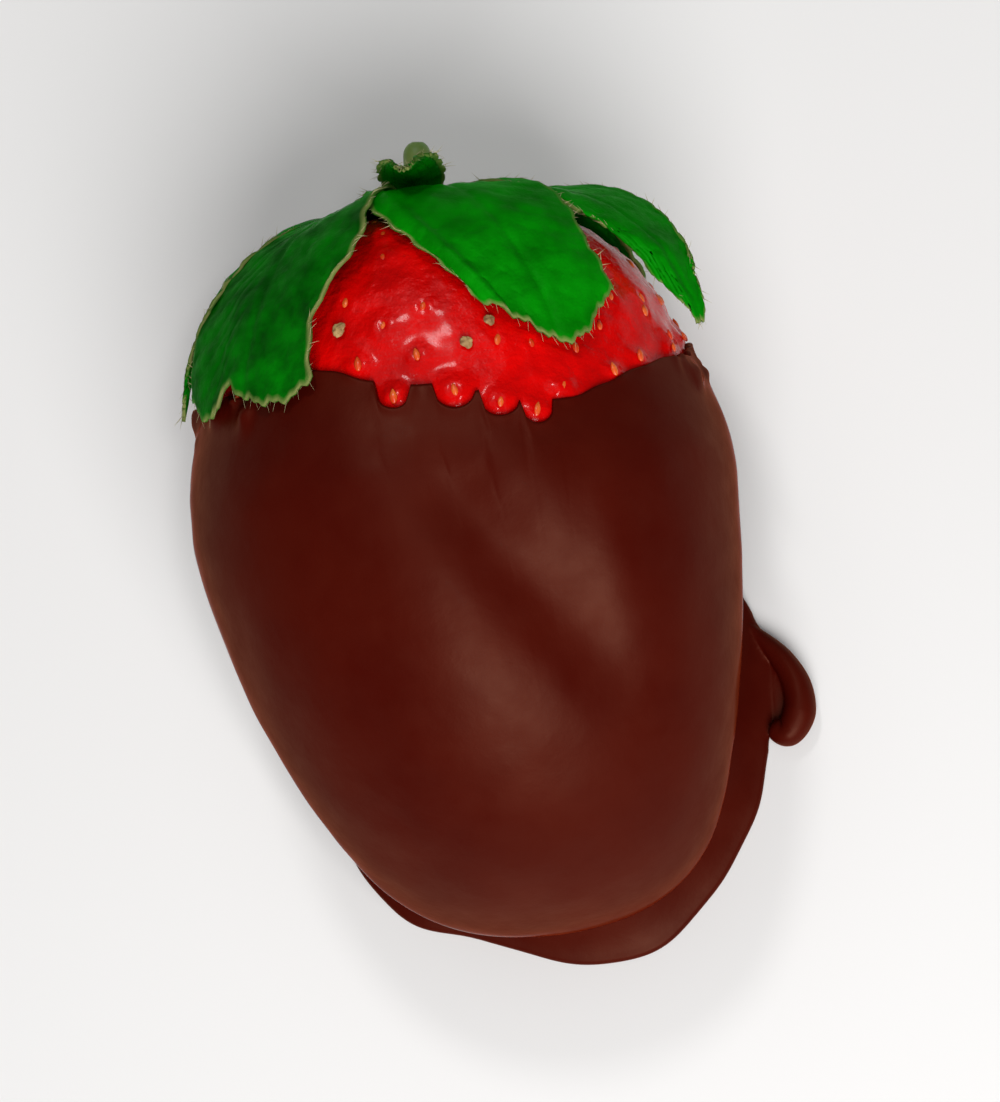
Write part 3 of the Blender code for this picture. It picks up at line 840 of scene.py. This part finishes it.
# %% One stamen, copied round the crown
STAMEN_ROUTE = ((0, 0, 0.1), (0.6, 0, 0.32), (1.3, 0.1, 0.42), (2.1, 0.15, 0.40), (2.9, 0.0, 0.32))
STAMEN_RADII = (0.13, 0.10, 0.08, 0.08, 0.08, 0.20, 0.18)
STAMEN_COUNT = 46
bpy.ops.mesh.primitive_uv_sphere_add(segments=7, ring_count=22, radius=1)
stamen = take("stamen")
draw_out(stamen, np.array(STAMEN_ROUTE) * MM, np.array(STAMEN_RADII) * MM, side=(0, 1, 0))
down_berry = Vector((0, -1, 0))
stamen_places = []
for index in range(STAMEN_COUNT):
    turn = index * 360 / STAMEN_COUNT + 5 * math.sin(4.1 * index)
    at, out = skin_with_normals([20 + 4 * math.sin(2.7 * index)], [turn])
    out = Vector(out[0])
    away = (down_berry - out * out.dot(down_berry)).normalized()
    tipped = Matrix((away, out.cross(away), out)).transposed().to_4x4()
    turned = Matrix.Rotation(0.7 * math.sin(5.3 * index), 4, "Z")
    lifted = Matrix.Rotation(0.06 * math.sin(3.1 * index), 4, "Y")
    root = Matrix.Translation(Vector(at[0]) + out * 0.1 * MM)
    size = 0.85 + 0.3 * math.sin(1.9 * index)
    stamen_places.append(root @ tipped @ turned @ lifted @ Matrix.Scale(size, 4))
stamens = copy_and_join(stamen, stamen_places, "stamens")

# %% Three dried crumbs of stamen that stuck to the wet flesh
CRUMBS = ((68.5, 77.5, 0.75), (64.5, 71.5, 0.65), (61.0, 106.5, 0.85))
bpy.ops.mesh.primitive_ico_sphere_add(subdivisions=4, radius=0.62 * MM)
crumb = take("crumb")
ball = points_of(crumb)
crumple = 1 + 0.45 * lumps(ball, 0.45 * MM, 60) + 0.20 * lumps(ball, 0.2 * MM, 70)
move_points(crumb, ball * crumple[:, None] * np.array((1.0, 0.9, 0.42)))
crumb_places = []
for reach, turn, size in CRUMBS:
    at, out = skin_with_normals([reach], [turn])
    out = Vector(out[0])
    lie = out.to_track_quat("Z", "Y").to_matrix().to_4x4()
    crumb_places.append(Matrix.Translation(Vector(at[0]) + out * 0.35 * MM) @ lie @ Matrix.Scale(size, 4))
crumbs = copy_and_join(crumb, crumb_places, "crumbs")

# %% Hairs along each leaf's margin
HAIR_LENGTH = 0.75 * MM
HAIRLESS_ROWS = 20
LEAN_BACK = 3
bpy.ops.mesh.primitive_cone_add(vertices=3, radius1=0.028 * MM, radius2=0.004 * MM, depth=HAIR_LENGTH,
                                location=(0, 0, HAIR_LENGTH / 2))
hair = take("hair")
rows, columns = LEAF_ROWS + 1, LEAF_COLUMNS + 1
hair_places = []
for number, leaf in enumerate(leaves):
    corners = points_of(leaf)[: rows * columns]
    for index in range(rows * columns):
        column, row = divmod(index, rows)
        at_side = column in (0, columns - 1) and row > HAIRLESS_ROWS
        at_end = row == rows - 1
        if not (at_side or at_end) or (row + column + number) % 2:
            continue
        inner_row = row - LEAN_BACK if at_end else row
        inner_column = column if at_end else min(max(column, LEAN_BACK), columns - 1 - LEAN_BACK)
        here = Vector(corners[index])
        outward = (here - Vector(corners[inner_row + inner_column * rows])).normalized()
        sway = Vector((math.sin(7.3 * index), math.sin(5.1 * index + 1), math.sin(3.7 * index + 2)))
        turned = (outward + 0.45 * sway).to_track_quat("Z", "Y").to_matrix().to_4x4()
        size = 0.8 + 0.45 * math.sin(2.9 * index)
        hair_places.append(Matrix.Translation(here) @ turned @ Matrix.Scale(size, 4))
hairs = copy_and_join(hair, hair_places, "hairs")

# %% [markdown]
# ## Materials
#
# Every finish is a Principled shader. What varies over the surface comes from noise read in Object
# coordinates, which stay with the piece. Numbers that are the same all over are set on the sockets.
# The chocolate and the leaves have a clear tinted layer on top: without it, what their edges reflect looks
# grey beside a pale floor. The flesh has a wet layer on top, for its small bright highlights.


# %% Small helpers for nodes
def new_finish(name, **numbers):
    """A new Principled material, with the numbers that are the same all over it."""
    material = bpy.data.materials.new(name)
    material.use_nodes = True
    shader = material.node_tree.nodes["Principled BSDF"]
    for socket, value in numbers.items():
        shader.inputs[socket.replace("_", " ")].default_value = value
    return material, material.node_tree, shader


def grain(tree, size, detail):
    """Noise whose lumps are about the given size, as a value from 0 to 1."""
    place = tree.nodes.new("ShaderNodeTexCoord")
    noise_node = tree.nodes.new("ShaderNodeTexNoise")
    noise_node.inputs["Scale"].default_value = 1 / size
    noise_node.inputs["Detail"].default_value = detail
    tree.links.new(place.outputs["Object"], noise_node.inputs["Vector"])
    return noise_node.outputs["Fac"]


def between(tree, value, low, high, first, second):
    """Values or colours from first to second as a value runs from low to high."""
    ramp = tree.nodes.new("ShaderNodeMapRange")
    ramp.inputs["From Min"].default_value = low
    ramp.inputs["From Max"].default_value = high
    tree.links.new(value, ramp.inputs["Value"])
    if not isinstance(first, tuple):
        ramp.inputs["To Min"].default_value = first
        ramp.inputs["To Max"].default_value = second
        return ramp.outputs["Result"]
    mix = tree.nodes.new("ShaderNodeMix")
    mix.data_type = "RGBA"
    mix.inputs["A"].default_value = (*first, 1)
    mix.inputs["B"].default_value = (*second, 1)
    tree.links.new(ramp.outputs["Result"], mix.inputs["Factor"])
    return mix.outputs["Result"]


def blend_in(tree, under, colour, share):
    """Lay a colour over another by a share that varies."""
    mix = tree.nodes.new("ShaderNodeMix")
    mix.data_type = "RGBA"
    tree.links.new(under, mix.inputs["A"])
    mix.inputs["B"].default_value = (*colour, 1)
    tree.links.new(share, mix.inputs["Factor"])
    return mix.outputs["Result"]


def bumps(tree, shader, heights):
    """Several bump layers, each a value with its depth in metres."""
    last = None
    for value, depth in heights:
        bump = tree.nodes.new("ShaderNodeBump")
        bump.inputs["Strength"].default_value = 1
        bump.inputs["Distance"].default_value = depth
        tree.links.new(value, bump.inputs["Height"])
        if last:
            tree.links.new(last, bump.inputs["Normal"])
        last = bump.outputs["Normal"]
    tree.links.new(last, shader.inputs["Normal"])


def dress(piece, material):
    piece.data.materials.clear()
    piece.data.materials.append(material)


# %% Chocolate
chocolate, tree, shader = new_finish("chocolate", IOR=1.26, Specular_Tint=(1, 0.67, 0.52, 1), Coat_Weight=1,
                                     Coat_IOR=1.01, Coat_Tint=(1, 0.75, 0.62, 1))
colour = between(tree, grain(tree, 9 * MM, 3), 0.35, 0.65, (0.047, 0.0026, 0.0012), (0.055, 0.0044, 0.0020))
tree.links.new(colour, shader.inputs["Base Color"])
tree.links.new(between(tree, grain(tree, 2.2 * MM, 4), 0.3, 0.7, 0.40, 0.50), shader.inputs["Roughness"])
bumps(tree, shader, ((grain(tree, 1.6 * MM, 3), 0.04 * MM), (grain(tree, 0.18 * MM, 2), 0.006 * MM)))
dress(coat, chocolate)

# %% Flesh
red_flesh, tree, shader = new_finish("flesh", IOR=1.12, Subsurface_Weight=0.15, Subsurface_Scale=1.0 * MM,
                                     Subsurface_Radius=(1.0, 0.12, 0.08), Coat_Weight=0.35,
                                     Coat_Roughness=0.10, Coat_IOR=1.32, Coat_Tint=(1, 0.6, 0.6, 1))
colour = between(tree, grain(tree, 3.5 * MM, 4), 0.3, 0.7, (0.42, 0.0005, 0.0005), (0.68, 0.0012, 0.0009))
tree.links.new(colour, shader.inputs["Base Color"])
tree.links.new(between(tree, grain(tree, 1.3 * MM, 3), 0.3, 0.7, 0.18, 0.34), shader.inputs["Roughness"])
bumps(tree, shader, ((grain(tree, 0.8 * MM, 3), 0.17 * MM), (grain(tree, 0.22 * MM, 2), 0.015 * MM)))
dress(flesh, red_flesh)

# %% Seeds
seed_skin, tree, shader = new_finish("seed_skin", Roughness=0.25, IOR=1.40, Subsurface_Weight=0.2,
                                     Subsurface_Scale=0.4 * MM, Subsurface_Radius=(1.0, 0.35, 0.1))
colour = between(tree, grain(tree, 1.6 * MM, 2), 0.35, 0.65, (0.60, 0.035, 0.006), (0.70, 0.13, 0.020))
tree.links.new(colour, shader.inputs["Base Color"])
bumps(tree, shader, ((grain(tree, 0.15 * MM, 2), 0.01 * MM),))
dress(seeds, seed_skin)


# %% Leaves, with pale margins
def leaf_finish(name, dark, light):
    material, tree, shader = new_finish(name, IOR=1.10, Coat_Weight=1, Coat_IOR=1.01,
                                        Coat_Tint=(0.7, 1, 0.7, 1))
    colour = between(tree, grain(tree, 2.6 * MM, 4), 0.32, 0.68, dark, light)
    margin = tree.nodes.new("ShaderNodeAttribute")
    margin.attribute_name = "from_margin"
    pale = between(tree, margin.outputs["Fac"], 0.03, 0.30, 0.80, 0.0)
    colour = blend_in(tree, colour, (0.30, 0.21, 0.10), pale)
    tree.links.new(colour, shader.inputs["Base Color"])
    tree.links.new(between(tree, grain(tree, 0.9 * MM, 3), 0.3, 0.7, 0.36, 0.60), shader.inputs["Roughness"])
    bumps(tree, shader, ((grain(tree, 0.8 * MM, 4), 0.07 * MM), (grain(tree, 0.20 * MM, 2), 0.02 * MM)))
    return material


# The front and right leaves take the plain green. The other leaves take a darker copy of it: painted shade,
# for the leaves that lie in shade.
front_green = leaf_finish("leaf_front_green", (0.0010, 0.135, 0.0012), (0.0018, 0.23, 0.0026))
leaf_green_with_painted_shade = leaf_finish("leaf_green_painted_shade", (0.0016, 0.060, 0.0024), (0.0018, 0.19, 0.0040))
for leaf in leaves:
    dress(leaf, front_green if leaf in (leaf_front, leaf_right) else leaf_green_with_painted_shade)

# %% Hub, stalk, stamens and hairs
stalk_skin, tree, shader = new_finish("stalk_skin", Roughness=0.55)
colour = between(tree, grain(tree, 1.8 * MM, 3), 0.35, 0.65, (0.09, 0.19, 0.025), (0.20, 0.28, 0.06))
tree.links.new(colour, shader.inputs["Base Color"])
bumps(tree, shader, ((grain(tree, 0.5 * MM, 3), 0.06 * MM),))
dress(hub, stalk_skin)
dress(stalk, stalk_skin)
dried, tree, shader = new_finish("dried_threads", Roughness=0.7)
colour = between(tree, grain(tree, 0.7 * MM, 2), 0.35, 0.65, (0.20, 0.09, 0.03), (0.42, 0.27, 0.10))
tree.links.new(colour, shader.inputs["Base Color"])
dress(stamens, dried)
dress(crumbs, dried)
hair_skin, tree, shader = new_finish("pale_hair", Roughness=0.6, Base_Color=(0.45, 0.40, 0.20, 1))
dress(hairs, hair_skin)

# %% [markdown]
# ## The studio
#
# One large soft light stands beyond the tip, a little to the right, so that the middle of the coat shines
# softly and its left third falls into shade. A small window beyond the crown and a smaller spark to the
# right give the wet flesh its crisp highlights. A broad overhead light, a pale floor and a dim even room
# fill the rest.

# %% Floor, lights and room
MIDDLE = Vector((0, 0, 0.015))
bpy.ops.mesh.primitive_plane_add(size=2.4, location=(0, 0, 0))
floor = take("floor")
plain, tree, shader = new_finish("plain_floor", Roughness=0.6, Base_Color=(0.76, 0.75, 0.74, 1))
dress(floor, plain)


def soft_light(name, place, size, power):
    """A round area light, aimed at the middle of the berry."""
    bpy.ops.object.light_add(type="AREA", location=place)
    light = bpy.context.object
    light.name = name
    light.data.shape = "DISK"
    light.data.size = size
    light.data.energy = power
    light.rotation_euler = (Vector(place) - MIDDLE).to_track_quat("Z", "Y").to_euler()


soft_light("key", (0.07, -0.33, 0.36), 0.34, 2.65)
soft_light("spark", (0.12, -0.10, 0.50), 0.05, 0.3)
soft_light("window", (-0.02, 0.27, 0.45), 0.08, 0.5)
soft_light("overhead", (-0.05, 0.25, 0.60), 0.60, 0.5)
room = bpy.data.worlds.new("room")
room.use_nodes = True
background = room.node_tree.nodes["Background"]
background.inputs["Color"].default_value = (0.95, 0.96, 1, 1)
background.inputs["Strength"].default_value = 0.10
bpy.context.scene.world = room
bpy.context.scene.view_settings.view_transform = "Standard"

# %% [markdown]
# ## The pieces on the body
#
# Each piece rides on the one body. The solid model's four nodes are hidden, and the floor is marked as
# backdrop.

# %% Hand the pieces over
for piece in (flesh, seeds, coat, hub, stalk, stamens, crumbs, hairs, *leaves):
    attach(piece, "root")
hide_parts("berry")
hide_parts("coat")
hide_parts("calyx")
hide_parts("stalk")
floor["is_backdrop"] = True

# %% Print the visual model's box
low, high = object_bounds()
print("the visual model spans", [round(1000 * size, 1) for size in high - low], "mm")
